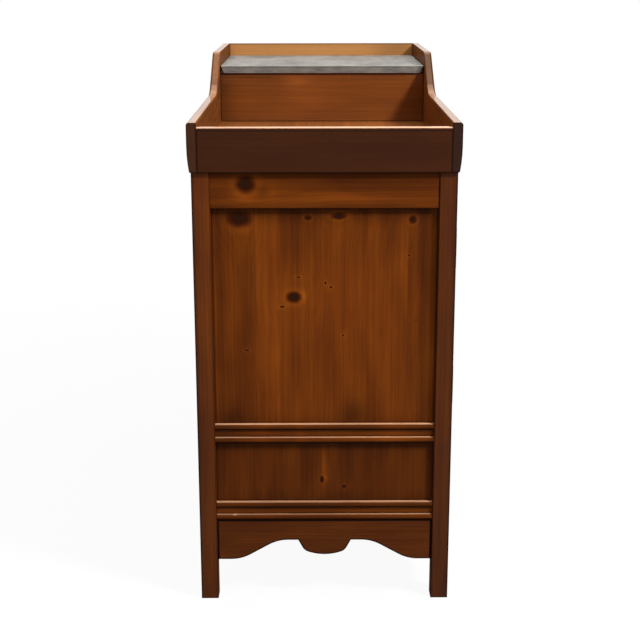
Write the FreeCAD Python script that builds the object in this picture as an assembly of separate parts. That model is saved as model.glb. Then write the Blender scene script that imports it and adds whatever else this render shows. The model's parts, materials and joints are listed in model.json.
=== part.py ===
# Dry sink cabinet: a panelled pine case on four square legs, with a skirted
# tray on top.  The tray's low well lies at the -X end, and its long boards rise
# in an ogee to a raised slate shelf at the +X end.
# Millimetres.  Origin on the floor under the middle of the case, +X towards
# the raised shelf, the front faces -Y, +Z up.
import FreeCAD, Part
import math
import os

os.makedirs("parts", exist_ok=True)

V = FreeCAD.Vector
Y_AXIS = V(0, 1, 0)
Z_AXIS = V(0, 0, 1)
SAME_PLACE = 0.01              # two places closer than this are one
SAME_WAY = 0.999               # cosine over which two directions are one

# ---- tray: outside sizes and boards ---------------------------------------------------
tray_length = 1016.0
tray_depth = 490.0
tray_board = 18.0              # thickness of every tray board and of the riser
skirt_height = 89.0            # long boards, from their lower edge to the rim
crest_rise = 82.0              # raised part of the long boards above the rim
low_end_drop = 8.5             # low end's board, its rim below the long boards' rims
well_floor_thick = 19.0
tray_overhang = 6.0            # tray boards past the case, all round

ogee_start = 512.0             # from the low end to where the rim begins to rise
ogee_run = 170.0               # length of the rise along the rim
ogee_foot_radius = 112.0
ogee_crest_radius = 32.0

rim_outer_round = 5.0
rim_inner_round = 3.0
end_rim_round = 4.0
skirt_tuck = 3.5               # how far the long boards' lower face curves in
skirt_tuck_height = 46.0
skirt_low_round = 3.0

# ---- raised shelf ---------------------------------------------------------------------
riser_at = 644.0               # from the low end to the riser's open face
slab_thick = 16.5
slab_top_below_crest = 28.5
slab_lip = 6.0                 # slab past the riser's open face
slab_gap = 1.5                 # slab to the boards around it
slab_arris = 1.0
slab_undercut = 6.0            # how far each end of the slab leans in towards its underside
slab_cleat = 12.0

# ---- case frame -----------------------------------------------------------------------
case_height = 833.0
post = 33.0                    # square legs that run the full height
post_round = 2.0
top_rail_height = 66.0
door_opening_height = 410.2
mid_rail_height = 38.0
drawer_opening_height = 119.0
lower_rail_height = 37.2
apron_height = 83.3

top_rail_recess = 2.0          # faces, measured in from the posts' outer faces
bead_rail_recess = 5.5
bead_proud = 4.5               # how far a bead stands out of its rail
bead_height = 12.0
quirk_width = 1.5              # groove beside each bead, on the rail's flat
quirk_depth = 2.0
apron_recess = 4.0
panel_recess = 10.0
panel_thick = 9.0
panel_groove = 7.0             # depth of the panel grooves
panel_float = 1.0              # room left for a panel at the bottom of a groove
frame_back = 24.0              # back of every rail, from the posts' outer faces

tenon_front = 11.5
tenon_thick = 8.0
tenon_length = 12.0
tenon_shoulder = 9.0

back_panel_thick = 6.0
back_rebate = 8.0              # back panel into the posts' rebates
back_rail_thick = 20.0

# ---- apron outline --------------------------------------------------------------------
lobe_radius = 95.0             # flat arc under the centre lobe
lobe_corner = 20.0             # rounded corner between that arc and the lobe's side
lobe_side_lean = 62.0          # slope of the lobe's straight side, in degrees
lobe_rise = 9.7                # lowest point of the lobe above the apron's foot line
cusp_half = 51.0
arch_rise = 39.9               # high flats above the apron's foot line
ramp_run = 110.0
ramp_radius = 75.0
end_arch_flat = 19.0           # level stretch beside the lobe; the feet take the rest
front_foot_flat = 60.0         # level foot beside each post; the arches take the rest

# ---- inside the case ------------------------------------------------------------------
cupboard_floor_thick = 12.0
floor_cleat_deep = 12.0
shelf_height = 560.0           # underside of the inner shelf
shelf_thick = 16.0
shelf_gap = 1.0
pin_radius = 3.0
pin_length = 20.0
pin_edge = 6.0                 # pin centre from a front post's inner edge
stop_thick = 12.0
stop_height = 40.0
stop_show = 15.0               # stop strip below the top rail
stop_length = 800.0

# ---- doors ----------------------------------------------------------------------------
door_thick = 20.0
door_gap = 2.0
stile_width = 50.0
door_groove = 8.0
door_panel_recess = 7.0
door_panel_thick = 7.0
door_tenon_length = 26.0
door_tenon_thick = 6.0
knob_height = 590.0

# ---- hinges ---------------------------------------------------------------------------
leaf_thick = 1.2
leaf_height = 76.0
leaf_width = 22.0
leaf_corner = 3.0
barrel_length = 42.0
barrel_radius = 2.0
barrel_clear = 0.1             # barrel to the wood behind it
leaf_clear = 0.5               # leaf to the other leaf's barrel
knuckle_share = 0.25           # each outer knuckle's share of the barrel
knuckle_gap = 0.3
pin_clear = 0.05
hinge_pin_radius = 1.1
hinge_tip_radius = 1.8
hinge_inset = 75.0             # hinge centres from the opening's top and bottom

# ---- catches --------------------------------------------------------------------------
catch_width = 30.0
catch_height = 12.0
catch_clear = 0.2
strike_thick = 1.0
catch_from_middle = 25.0

# ---- drawers --------------------------------------------------------------------------
drawer_gap = 2.0
drawer_front_thick = 20.0
drawer_side_thick = 12.0
drawer_socket = 9.0            # sides into the drawer front
drawer_bottom_thick = 6.0
drawer_bottom_up = 10.0
drawer_bottom_groove = 5.0
side_drop = 2.0                # sides below the top of the drawer front
runner_width = 22.0
runner_deep = 16.0
runner_clear = 0.3
runner_lip_up = 20.0
guide_gap = 1.0
kicker_clear = 1.5
drawer_stop_up = 12.0
drawer_stop_thick = 9.0

window_margin = 24.0           # small drawer's opening from the riser and the end
window_above_floor = 28.0
window_below_slab = 13.0
small_gap = 1.0
small_stop_thick = 10.0
small_drawer_room = 42.0       # behind the small drawer's stops
small_side_thick = 10.0
small_bottom_thick = 4.0
small_bottom_up = 6.0
small_bottom_groove = 4.0
small_guide_thick = 12.0
small_guide_up = 20.0

# ---- turned knobs: each size is for the large knob, the small one is a share of it
knob_reach = 20.5
knob_head_radius = 15.0
knob_head_low = 11.0           # underside of the head, out from the wood
knob_head_edge = 4.0
knob_head_round = 1.5
knob_neck_radius = 7.0
knob_base_radius = 9.5
knob_base_thick = 2.5
knob_shank_radius = 5.0
knob_shank_length = 12.0
small_knob_share = 0.62

# ---- levels and planes worked out from the sizes above --------------------------------
half_x = tray_length / 2
half_y = tray_depth / 2
case_x = half_x - tray_overhang
case_y = half_y - tray_overhang
post_x = case_x - post
post_y = case_y - post
inner_x = half_x - tray_board
inner_y = half_y - tray_board

top_rail_low = case_height - top_rail_height
mid_rail_top = top_rail_low - door_opening_height
mid_rail_low = mid_rail_top - mid_rail_height
lower_rail_top = mid_rail_low - drawer_opening_height
lower_rail_low = lower_rail_top - lower_rail_height
apron_low = lower_rail_low - apron_height

rim_z = case_height + skirt_height
crest_z = rim_z + crest_rise
well_z = case_height + well_floor_thick
slab_top = crest_z - slab_top_below_crest
slab_low = slab_top - slab_thick
riser_x = riser_at - half_x
riser_back = riser_x + tray_board

rail_back_y = frame_back - case_y          # back of the front rails
back_rail_y = case_y - back_panel_thick - back_rail_thick
door_face_y = -case_y
door_back_y = door_face_y + door_thick


# ---- small helpers --------------------------------------------------------------------
def block(x0, x1, y0, y1, z0, z1):
    return Part.makeBox(x1 - x0, y1 - y0, z1 - z0, V(x0, y0, z0))


def flipped(shape):
    """Mirror image across the middle of the cabinet's length."""
    return shape.mirror(V(0, 0, 0), V(1, 0, 0))


def flipped_in_depth(shape):
    return shape.mirror(V(0, 0, 0), Y_AXIS)


def twins(shape):
    return [shape, flipped(shape)]


def prism_y(edges, y0, y1):
    """Extrude a closed outline drawn in XZ from y0 to y1."""
    face = Part.Face(Part.Wire(edges))
    face.translate(V(0, y0, 0))
    return face.extrude(V(0, y1 - y0, 0))


def prism_x(edges, x0, x1):
    """Extrude a closed outline drawn in YZ from x0 to x1."""
    face = Part.Face(Part.Wire(edges))
    face.translate(V(x0, 0, 0))
    return face.extrude(V(x1 - x0, 0, 0))


def line(a, b):
    return Part.LineSegment(a, b).toShape()


def arc(a, through, b):
    return Part.Arc(a, through, b).toShape()


def ogee(start, end, first_radius, second_radius):
    """Arc, straight, arc from start to end in XZ, level at both ends."""
    run = abs(end.x - start.x)
    rise = abs(end.z - start.z)
    toward = math.copysign(1, end.x - start.x)
    upward = math.copysign(1, end.z - start.z)
    both = first_radius + second_radius
    turn = math.asin(both / math.hypot(run, rise - both)) + math.atan2(rise - both, run)

    def on_first(angle):
        return V(start.x + toward * first_radius * math.sin(angle), 0,
                 start.z + upward * first_radius * (1 - math.cos(angle)))

    def on_second(angle):
        return V(end.x - toward * second_radius * math.sin(angle), 0,
                 end.z - upward * second_radius * (1 - math.cos(angle)))

    return [
        arc(start, on_first(turn / 2), on_first(turn)),
        line(on_first(turn), on_second(turn)),
        arc(on_second(turn), on_second(turn / 2), end),
    ]


def long_edges(shape, axis, at_least):
    """Straight edges along an axis that are longer than a length."""
    found = []
    for edge in shape.Edges:
        if isinstance(edge.Curve, Part.Line) and edge.Length > at_least:
            along = edge.Vertexes[1].Point - edge.Vertexes[0].Point
            if abs(along.dot(axis)) > SAME_WAY * edge.Length:
                found.append(edge)
    return found


def save(node, *solids):
    shape = solids[0] if len(solids) == 1 else Part.makeCompound(list(solids))
    shape.exportStep("parts/" + node + ".step")


# ---- case frame, drawn once as a side whose outer face is y = 0 -----------------------
def place(shape, side):
    """Put a member drawn with its outer face on y = 0 on one side of the case."""
    turn, x, y = {
        "front": (0, 0, -case_y),
        "back": (180, 0, case_y),
        "left": (-90, -case_x, 0),
        "right": (90, case_x, 0),
    }[side]
    placed = shape.copy()
    placed.rotate(V(0, 0, 0), Z_AXIS, turn)
    placed.translate(V(x, y, 0))
    return placed


def tenons(span, low, high):
    return twins(block(span / 2, span / 2 + tenon_length, tenon_front, tenon_front + tenon_thick,
                       low + tenon_shoulder, high - tenon_shoulder))


def plain_rail(span, face, low, high, back=frame_back):
    body = block(-span / 2, span / 2, face, back, low, high)
    return body.fuse(tenons(span, low, high)).removeSplitter()


def bead_rail(span, low, high):
    """A rail with a quirked half-round bead along its lower and upper edges."""
    face = bead_rail_recess
    crest = bead_rail_recess - bead_proud
    sunk = face + quirk_depth
    lower_bead = low + bead_height
    upper_bead = high - bead_height

    def at(depth, z):
        return V(0, depth, z)

    flat = [
        at(face, lower_bead), at(sunk, lower_bead), at(sunk, lower_bead + quirk_width),
        at(face, lower_bead + quirk_width), at(face, upper_bead - quirk_width),
        at(sunk, upper_bead - quirk_width), at(sunk, upper_bead), at(face, upper_bead),
    ]
    edges = [
        arc(at(face, low), at(crest, low + bead_height / 2), at(face, lower_bead)),
        *[line(a, b) for a, b in zip(flat, flat[1:])],
        arc(at(face, upper_bead), at(crest, high - bead_height / 2), at(face, high)),
        line(at(face, high), at(frame_back, high)),
        line(at(frame_back, high), at(frame_back, low)),
        line(at(frame_back, low), at(face, low)),
    ]
    return prism_x(edges, -span / 2, span / 2).fuse(tenons(span, low, high)).removeSplitter()


def apron(span, ramp_start):
    """Shaped board under the lower rail: a centre lobe, and arches that ramp down to feet."""
    half = span / 2
    top = lower_rail_low
    arch = apron_low + arch_rise
    ramp_end = ramp_start + ramp_run

    # the lobe's corner touches both the flat arc and the straight side up to the cusp
    lobe_middle = apron_low + lobe_rise + lobe_radius
    lean = math.radians(lobe_side_lean)
    to_corner = lobe_radius - lobe_corner
    to_side = cusp_half * math.sin(lean) + (lobe_middle - arch) * math.cos(lean)
    turn = lean - math.acos((to_side - lobe_corner) / to_corner)

    def on_lobe(s, angle):
        return V(s * lobe_radius * math.sin(angle), 0, lobe_middle - lobe_radius * math.cos(angle))

    def on_corner(s, angle):
        return V(s * (to_corner * math.sin(turn) + lobe_corner * math.sin(angle)), 0,
                 lobe_middle - to_corner * math.cos(turn) - lobe_corner * math.cos(angle))

    def half_outline(s):
        ramp = ogee(V(s * ramp_start, 0, arch), V(s * ramp_end, 0, apron_low),
                    ramp_radius, ramp_radius)
        return [
            arc(on_lobe(s, turn), on_corner(s, (turn + lean) / 2), on_corner(s, lean)),
            line(on_corner(s, lean), V(s * cusp_half, 0, arch)),
            line(V(s * cusp_half, 0, arch), V(s * ramp_start, 0, arch)),
            *ramp,
            line(V(s * ramp_end, 0, apron_low), V(s * half, 0, apron_low)),
            line(V(s * half, 0, apron_low), V(s * half, 0, top)),
        ]

    lobe = arc(on_lobe(-1, turn), on_lobe(1, 0), on_lobe(1, turn))
    outline = [lobe, *half_outline(1), *half_outline(-1), line(V(-half, 0, top), V(half, 0, top))]
    body = prism_y(Part.sortEdges(outline)[0], apron_recess, frame_back)
    return body.fuse(tenons(span, apron_low, top)).removeSplitter()


def panel(span, low, high, into):
    """Flat panel whose edges reach a distance into the grooves around it."""
    return block(-span / 2 - into, span / 2 + into, panel_recess, panel_recess + panel_thick,
                 low - into, high + into)


def grooves(span, low, high):
    return panel(span, low, high, panel_groove)


# members of one end, and the grooves that its two panels need
end_span = 2 * post_y
end_grooves = [
    grooves(end_span, mid_rail_top, top_rail_low),
    grooves(end_span, lower_rail_top, mid_rail_low),
]
end_members = {
    "top_rail": plain_rail(end_span, top_rail_recess, top_rail_low, case_height),
    "mid_rail": bead_rail(end_span, mid_rail_low, mid_rail_top),
    "lower_rail": bead_rail(end_span, lower_rail_low, lower_rail_top),
    "apron": apron(end_span, cusp_half + end_arch_flat),
}
for name in ("top_rail", "mid_rail", "lower_rail"):
    end_members[name] = end_members[name].cut(end_grooves)
tongue = panel_groove - panel_float
end_panels = {
    "upper_panel": panel(end_span, mid_rail_top, top_rail_low, tongue),
    "lower_panel": panel(end_span, lower_rail_top, mid_rail_low, tongue),
}
for end in ("left", "right"):
    for name, shape in {**end_members, **end_panels}.items():
        save(end + "_end_" + name, place(shape, end))

# members of the front
front_span = 2 * post_x
front_members = {
    "top_rail": plain_rail(front_span, top_rail_recess, top_rail_low, case_height),
    "mid_rail": bead_rail(front_span, mid_rail_low, mid_rail_top),
    "lower_rail": bead_rail(front_span, lower_rail_low, lower_rail_top),
    "apron": apron(front_span, front_span / 2 - front_foot_flat - ramp_run),
}
for name, shape in front_members.items():
    save("front_" + name, place(shape, "front"))

# back: three plain rails, and a thin panel over them in the posts' rebates
back_rails = [
    plain_rail(front_span, back_panel_thick, low, high, back_panel_thick + back_rail_thick)
    for low, high in (
        (top_rail_low, case_height), (mid_rail_low, mid_rail_top), (lower_rail_low, lower_rail_top))
]
back_panel = block(-front_span / 2 - back_rebate, front_span / 2 + back_rebate,
                   0, back_panel_thick, lower_rail_low, case_height)
save("back_rails", *[place(rail, "back") for rail in back_rails])
save("back_panel", place(back_panel, "back"))

# shelf pins, half in the posts and half under the shelf
pins = []
for y in (-post_y - pin_edge, post_y + pin_edge):
    start = V(post_x - pin_length / 2, y, shelf_height - pin_radius)
    pins += twins(Part.makeCylinder(pin_radius, pin_length, start, V(1, 0, 0)))
save("shelf_pins", *pins)

# posts: mortises, grooves, rebates and pin holes are cut by what sits in them
let_in = [place(shape, end) for end in ("left", "right")
          for shape in [*end_members.values(), *end_grooves]]
let_in += [place(shape, "front") for shape in front_members.values()]
let_in += [place(shape, "back") for shape in [*back_rails, back_panel]]
let_in += pins
for front_or_back, sy in (("front", -1), ("back", 1)):
    for end, sx in (("left", -1), ("right", 1)):
        blank = Part.makeBox(post, post, case_height, V(-post / 2, -post / 2, 0))
        blank = blank.makeFillet(post_round, long_edges(blank, Z_AXIS, post))
        blank.translate(V(sx * (case_x - post / 2), sy * (case_y - post / 2), 0))
        save("post_" + front_or_back + "_" + end, blank.cut(let_in))


# ---- tray -----------------------------------------------------------------------------
def long_board_outline():
    """The rim runs level from the low end, rises in an ogee and runs level again."""
    start = V(ogee_start - half_x, 0, rim_z)
    end = V(start.x + ogee_run, 0, crest_z)
    return [
        line(V(-half_x, 0, case_height), V(-half_x, 0, rim_z)),
        line(V(-half_x, 0, rim_z), start),
        *ogee(start, end, ogee_foot_radius, ogee_crest_radius),
        line(end, V(half_x, 0, crest_z)),
        line(V(half_x, 0, crest_z), V(half_x, 0, case_height)),
        line(V(half_x, 0, case_height), V(-half_x, 0, case_height)),
    ]


def long_board_section():
    """The outer face is upright, and curves in towards a rounded lower arris."""
    tuck_top = case_height + skirt_tuck_height
    low = case_height + skirt_low_round
    outer = -half_y
    tucked = outer + skirt_tuck
    tuck_radius = (skirt_tuck ** 2 + (tuck_top - low) ** 2) / (2 * skirt_tuck)
    half_turn = math.asin((tuck_top - low) / tuck_radius) / 2
    tuck_middle = V(0, outer + tuck_radius * (1 - math.cos(half_turn)),
                    tuck_top - tuck_radius * math.sin(half_turn))
    corner = skirt_low_round * (1 - math.sqrt(0.5))
    return [
        line(V(0, outer, crest_z), V(0, outer, tuck_top)),
        arc(V(0, outer, tuck_top), tuck_middle, V(0, tucked, low)),
        arc(V(0, tucked, low), V(0, tucked + corner, case_height + corner),
            V(0, tucked + skirt_low_round, case_height)),
        line(V(0, tucked + skirt_low_round, case_height), V(0, -inner_y, case_height)),
        line(V(0, -inner_y, case_height), V(0, -inner_y, crest_z)),
        line(V(0, -inner_y, crest_z), V(0, outer, crest_z)),
    ]


def rim_edges(shape, y):
    """Edges of the board's upper outline that lie in the plane of one face."""
    found = []
    for edge in shape.Edges:
        box = edge.BoundBox
        in_plane = abs(box.YMin - y) < SAME_PLACE and abs(box.YMax - y) < SAME_PLACE
        upright = box.XLength < SAME_PLACE
        if in_plane and not upright and box.ZMax > rim_z - SAME_PLACE:
            found.append(edge)
    return found


long_board = prism_y(long_board_outline(), -half_y, -inner_y).common(
    prism_x(long_board_section(), -half_x, half_x))
long_board = long_board.makeFillet(rim_outer_round, rim_edges(long_board, -half_y))
long_board = long_board.makeFillet(rim_inner_round, rim_edges(long_board, -inner_y))

window_x0 = riser_back + window_margin
window_x1 = inner_x - window_margin
window_z0 = well_z + window_above_floor
window_z1 = slab_low - window_below_slab
window = block(window_x0, window_x1, -half_y, -inner_y, window_z0, window_z1)

save("tray_front_board", long_board.cut(window))
save("tray_back_board", flipped_in_depth(long_board))


def end_board(x0, x1, top):
    """A board across an end, with its upper edge rounded on both faces."""
    board = block(x0, x1, -inner_y, inner_y, case_height, top)
    rounded = [edge for edge in long_edges(board, Y_AXIS, inner_y)
               if edge.BoundBox.ZMin > top - SAME_PLACE]
    return board.makeFillet(end_rim_round, rounded)


save("tray_left_board", end_board(-half_x, -inner_x, rim_z - low_end_drop))
save("tray_right_board", end_board(inner_x, half_x, crest_z))
save("well_floor", block(-inner_x, inner_x, -inner_y, inner_y, case_height, well_z))
save("shelf_riser", block(riser_x, riser_back, -inner_y, inner_y, well_z, slab_low))

slab_end = inner_y - slab_gap
slab_corners = [
    V(0, -slab_end, slab_top), V(0, slab_end, slab_top),
    V(0, slab_end - slab_undercut, slab_low), V(0, slab_undercut - slab_end, slab_low),
]
slab = prism_x([line(a, b) for a, b in zip(slab_corners, slab_corners[1:] + slab_corners[:1])],
               riser_x - slab_lip, inner_x - slab_gap)
save("slate_slab", slab.makeChamfer(slab_arris, slab.Edges))

cleat_low = slab_low - slab_cleat
side_cleat = block(riser_back, inner_x, -inner_y, -inner_y + slab_cleat, cleat_low, slab_low)
end_cleat = block(inner_x - slab_cleat, inner_x, -inner_y + slab_cleat, inner_y - slab_cleat,
                  cleat_low, slab_low)
save("slate_cleats", side_cleat, flipped_in_depth(side_cleat), end_cleat)

# ---- inside the case ------------------------------------------------------------------
cupboard_floor_low = mid_rail_top - cupboard_floor_thick
floor = block(-case_x + frame_back, case_x - frame_back, rail_back_y, back_rail_y,
              cupboard_floor_low, mid_rail_top)
notches = [block(x, x + post, y, y + post, cupboard_floor_low, mid_rail_top)
           for x in (-case_x, post_x) for y in (-case_y, post_y)]
save("cupboard_floor", floor.cut(notches))

drawer_low = lower_rail_top + drawer_gap
drawer_high = mid_rail_low - drawer_gap
side_top = drawer_high - side_drop
kicker_low = side_top + kicker_clear
end_cleats = twins(block(post_x - runner_width, post_x, rail_back_y, back_rail_y,
                         kicker_low, cupboard_floor_low))
ledger_x = post_x - runner_width
ledger_low = cupboard_floor_low - floor_cleat_deep
ledgers = [
    block(-ledger_x, ledger_x, rail_back_y, rail_back_y + floor_cleat_deep,
          ledger_low, cupboard_floor_low),
    block(-ledger_x, ledger_x, back_rail_y - floor_cleat_deep, back_rail_y,
          ledger_low, cupboard_floor_low),
]
save("floor_cleats", *end_cleats, *ledgers)

save("inner_shelf", block(-post_x + shelf_gap, post_x - shelf_gap,
                          rail_back_y, case_y - back_panel_thick - shelf_gap,
                          shelf_height, shelf_height + shelf_thick))
save("door_stop", block(-stop_length / 2, stop_length / 2, rail_back_y, rail_back_y + stop_thick,
                        top_rail_low - stop_show, top_rail_low - stop_show + stop_height))


# ---- knobs ----------------------------------------------------------------------------
def turned_knob():
    """Knob with a base disc, a hollow neck and a domed head, standing out along -Y."""
    head_top = knob_head_low + knob_head_edge
    dome = knob_reach - head_top
    dome_radius = (knob_head_radius ** 2 + dome ** 2) / (2 * dome)
    half_turn = math.asin(knob_head_radius / dome_radius) / 2

    def at(radius, out):
        return V(radius, -out, 0)

    outline = [
        line(at(0, -knob_shank_length), at(knob_shank_radius, -knob_shank_length)),
        line(at(knob_shank_radius, -knob_shank_length), at(knob_shank_radius, 0)),
        line(at(knob_shank_radius, 0), at(knob_base_radius, 0)),
        line(at(knob_base_radius, 0), at(knob_base_radius, knob_base_thick)),
        arc(at(knob_base_radius, knob_base_thick),
            at(knob_neck_radius, (knob_base_thick + knob_head_low) / 2),
            at(knob_head_radius - knob_head_round, knob_head_low)),
        line(at(knob_head_radius - knob_head_round, knob_head_low),
             at(knob_head_radius, knob_head_low + knob_head_round)),
        line(at(knob_head_radius, knob_head_low + knob_head_round), at(knob_head_radius, head_top)),
        arc(at(knob_head_radius, head_top),
            at(dome_radius * math.sin(half_turn),
               knob_reach - dome_radius * (1 - math.cos(half_turn))),
            at(0, knob_reach)),
        line(at(0, knob_reach), at(0, -knob_shank_length)),
    ]
    return Part.Face(Part.Wire(outline)).revolve(V(0, 0, 0), Y_AXIS, 360)


def knob(x, face_y, z, share=1.0):
    """A knob on a face, with its shank let into the wood behind."""
    shape = turned_knob()
    shape.scale(share)
    shape.translate(V(x, face_y, z))
    return shape


# ---- doors: the left one is drawn, the right one mirrors it ---------------------------
door_x0 = -post_x + door_gap
door_x1 = -door_gap / 2
door_z0 = mid_rail_top + door_gap
door_z1 = top_rail_low - door_gap
panel_y0 = door_face_y + door_panel_recess
door_tenon_y = door_face_y + (door_thick - door_tenon_thick) / 2


def within_door_frame(into):
    """The door panel's slab, reaching a distance into the stiles and rails."""
    edge = stile_width - into
    return block(door_x0 + edge, door_x1 - edge, panel_y0, panel_y0 + door_panel_thick,
                 door_z0 + edge, door_z1 - edge)


door_groove_cut = within_door_frame(door_groove)
door_panel = within_door_frame(door_groove - panel_float)


def door_rail(low):
    """Cross rail of a door, tenoned into the stiles and grooved for the panel."""
    high = low + stile_width
    body = block(door_x0 + stile_width, door_x1 - stile_width, door_face_y, door_back_y, low, high)
    into = stile_width - door_tenon_length
    tenon = block(door_x0 + into, door_x1 - into, door_tenon_y, door_tenon_y + door_tenon_thick,
                  low + tenon_shoulder, high - tenon_shoulder)
    return body.fuse(tenon).removeSplitter().cut(door_groove_cut)


door_rails = [door_rail(door_z0), door_rail(door_z1 - stile_width)]
door_knob = knob(door_x1 - stile_width / 2, door_face_y, knob_height)
door_stiles = [
    block(x0, x0 + stile_width, door_face_y, door_back_y, door_z0, door_z1).cut(
        [door_groove_cut, *door_rails, door_knob])
    for x0 in (door_x0, door_x1 - stile_width)
]

# ---- H hinges: two for each door ------------------------------------------------------
hinge_x = -post_x + door_gap / 2
hinge_y = door_face_y - barrel_radius - barrel_clear
hinge_levels = (mid_rail_top + hinge_inset, top_rail_low - hinge_inset)
knuckle = barrel_length * knuckle_share
leaf_edge = barrel_radius + leaf_clear


def barrel(low, high):
    start = V(hinge_x, hinge_y, low)
    return Part.makeCylinder(barrel_radius, high - low, start, Z_AXIS)


def leaf(side, level, knuckles):
    """Flat leaf on the wood, side -1 on the post or 1 on the door, with its knuckles."""
    near = hinge_x + side * leaf_edge
    far = near + side * leaf_width
    y0 = door_face_y - leaf_thick
    shape = block(min(near, far), max(near, far), y0, door_face_y,
                  level - leaf_height / 2, level + leaf_height / 2)
    shape = shape.makeFillet(leaf_corner, long_edges(shape, Y_AXIS, 0))
    for low, high in knuckles:
        arm_end = near + side * leaf_corner
        arm = block(min(hinge_x, arm_end), max(hinge_x, arm_end), y0, door_face_y, low, high)
        shape = shape.fuse([arm, barrel(low, high)])
    bore = Part.makeCylinder(hinge_pin_radius + pin_clear, leaf_height,
                             V(hinge_x, hinge_y, level - leaf_height / 2), Z_AXIS)
    return shape.cut(bore).removeSplitter()


def hinge(level):
    low = level - barrel_length / 2
    high = level + barrel_length / 2
    frame_leaf = leaf(-1, level, [(low, low + knuckle), (high - knuckle, high)])
    door_leaf = leaf(1, level, [(low + knuckle + knuckle_gap, high - knuckle - knuckle_gap)])
    start = V(hinge_x, hinge_y, low)
    pin = Part.makeCylinder(hinge_pin_radius, barrel_length, start, Z_AXIS)
    for z, way in ((low, -1), (high, 1)):
        tip = Part.makeSphere(hinge_tip_radius, V(hinge_x, hinge_y, z), V(0, 0, way), 0, 90, 360)
        pin = pin.fuse(tip)
    return frame_leaf, door_leaf, pin.removeSplitter()


hinges = [hinge(level) for level in hinge_levels]
frame_leaves = [shape for frame_leaf, door_leaf, pin in hinges for shape in twins(frame_leaf)]
hinge_pins = [shape for frame_leaf, door_leaf, pin in hinges for shape in twins(pin)]
door_leaves = [door_leaf for frame_leaf, door_leaf, pin in hinges]
save("hinge_frame_leaves", *frame_leaves)
save("hinge_pins", *hinge_pins)

# ---- magnetic catches -----------------------------------------------------------------
catch_z1 = door_z1
catch_z0 = catch_z1 - catch_height
strike_x1 = -catch_from_middle + catch_width / 2
strike = block(strike_x1 - catch_width, strike_x1, door_back_y, door_back_y + strike_thick,
               catch_z0, catch_z1)
magnet = block(strike_x1 - catch_width, strike_x1, door_back_y + strike_thick + catch_clear,
               rail_back_y, catch_z0, catch_z1)
save("catch_magnets", *twins(magnet))

door_pieces = {
    "stiles": door_stiles,
    "rails": door_rails,
    "panel": [door_panel],
    "knob": [door_knob],
    "hinge_leaves": door_leaves,
    "strike": [strike],
}
for name, shapes in door_pieces.items():
    save("door_left_" + name, *shapes)
    save("door_right_" + name, *[flipped(shape) for shape in shapes])


# ---- drawers --------------------------------------------------------------------------
def drawer_box(x0, x1, y0, back_y, front_thick, low, top, side, bottom, bottom_up, groove):
    """Sides, back and bottom of a drawer that runs from its front's face at y0 to back_y."""
    bottom_z = low + bottom_up
    sheet = block(x0 + side - groove, x1 - side + groove, y0 + front_thick - groove, back_y,
                  bottom_z, bottom_z + bottom)
    sides = [
        block(x, x + side, y0 + front_thick - drawer_socket, back_y, low, top).cut(sheet)
        for x in (x0, x1 - side)
    ]
    back = block(x0 + side, x1 - side, back_y - side, back_y, bottom_z + bottom, top)
    return sides, back, sheet


drawer_x = post_x - drawer_gap
drawer_end = back_rail_y - drawer_stop_thick - runner_clear
drawer_sides, drawer_back, drawer_bottom = drawer_box(
    -drawer_x, drawer_x, door_face_y, drawer_end, drawer_front_thick, drawer_low, side_top,
    drawer_side_thick, drawer_bottom_thick, drawer_bottom_up, drawer_bottom_groove)
drawer_knobs = twins(knob(-drawer_x / 2, door_face_y, (drawer_low + drawer_high) / 2))
drawer_front = block(-drawer_x, drawer_x, door_face_y, door_face_y + drawer_front_thick,
                     drawer_low, drawer_high)
save("drawer_front", drawer_front.cut([*drawer_sides, drawer_bottom, *drawer_knobs]))
save("drawer_sides", *drawer_sides)
save("drawer_back", drawer_back)
save("drawer_bottom", drawer_bottom)
save("drawer_knobs", *drawer_knobs)

# runners under the drawer's sides, with a guide lip and a stop behind the drawer
runner_top = drawer_low - runner_clear
guide_x = drawer_x + guide_gap
runner = block(post_x - runner_width, post_x, rail_back_y, back_rail_y,
               runner_top - runner_deep, runner_top)
lip = block(guide_x, case_x - frame_back, -post_y, post_y,
            runner_top - runner_deep, runner_top + runner_lip_up)
drawer_stop = block(post_x - runner_width, drawer_x, back_rail_y - drawer_stop_thick,
                    back_rail_y, runner_top, runner_top + drawer_stop_up)
save("drawer_runners", *twins(runner.fuse([lip, drawer_stop]).removeSplitter()))

# small drawer under the slab
small_x0 = window_x0 + small_gap
small_x1 = window_x1 - small_gap
small_low = window_z0 + small_gap
small_high = window_z1 - small_gap
small_top = small_high - side_drop
small_runner_end = inner_y - small_drawer_room
small_end = small_runner_end - small_stop_thick - runner_clear
small_sides, small_back, small_bottom = drawer_box(
    small_x0, small_x1, -half_y, small_end, tray_board, small_low, small_top,
    small_side_thick, small_bottom_thick, small_bottom_up, small_bottom_groove)
small_knob = knob((small_x0 + small_x1) / 2, -half_y, (small_low + small_high) / 2,
                  small_knob_share)
small_front = block(small_x0, small_x1, -half_y, -inner_y, small_low, small_high)
save("small_drawer_front", small_front.cut([*small_sides, small_bottom, small_knob]))
save("small_drawer_box", *small_sides, small_back, small_bottom)
save("small_drawer_knob", small_knob)

small_runner_top = small_low - runner_clear


def small_runner(edge_x, way):
    """Strip on the well floor that carries and guides one side of the small drawer."""
    guide = edge_x + way * guide_gap
    outside = guide + way * small_guide_thick
    inside = edge_x - way * small_side_thick
    ledge = block(min(inside, outside), max(inside, outside), -inner_y, small_runner_end,
                  well_z, small_runner_top)
    guide_lip = block(min(guide, outside), max(guide, outside), -inner_y, small_runner_end,
                      well_z, small_runner_top + small_guide_up)
    stop = block(min(inside, outside), max(inside, outside),
                 small_runner_end - small_stop_thick, small_runner_end,
                 well_z, small_runner_top + drawer_stop_up)
    return ledge.fuse([guide_lip, stop]).removeSplitter()


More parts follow.
